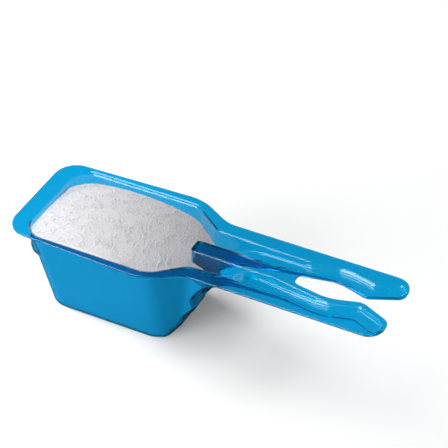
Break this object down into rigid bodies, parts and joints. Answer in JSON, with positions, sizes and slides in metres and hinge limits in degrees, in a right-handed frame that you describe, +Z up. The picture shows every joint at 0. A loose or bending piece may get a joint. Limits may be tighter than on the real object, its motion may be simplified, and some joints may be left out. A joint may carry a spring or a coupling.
{
  "type": "washing powder scoop",
  "caption": "Clear blue moulded scoop for washing powder: flanged tapered bowl holding a heap of white granules, and a forked handle whose slot clips an opened bag shut.",
  "frame": {"origin": "centre of the bowl's flat base, on its underside", "axes": "+X from the bowl towards the fork's tips, +Y across the bowl, +Z up out of the bowl"},
  "size_m": [0.18, 0.0602, 0.0455],
  "materials": {
    "clear_blue_plastic": "clear tinted injection moulding, polished",
    "white_granules": "dry white granules, heaped"
  },
  "bodies": {
    "root": {"scoop": "clear_blue_plastic", "washing_powder": "white_granules"}
  },
  "joints": []
}
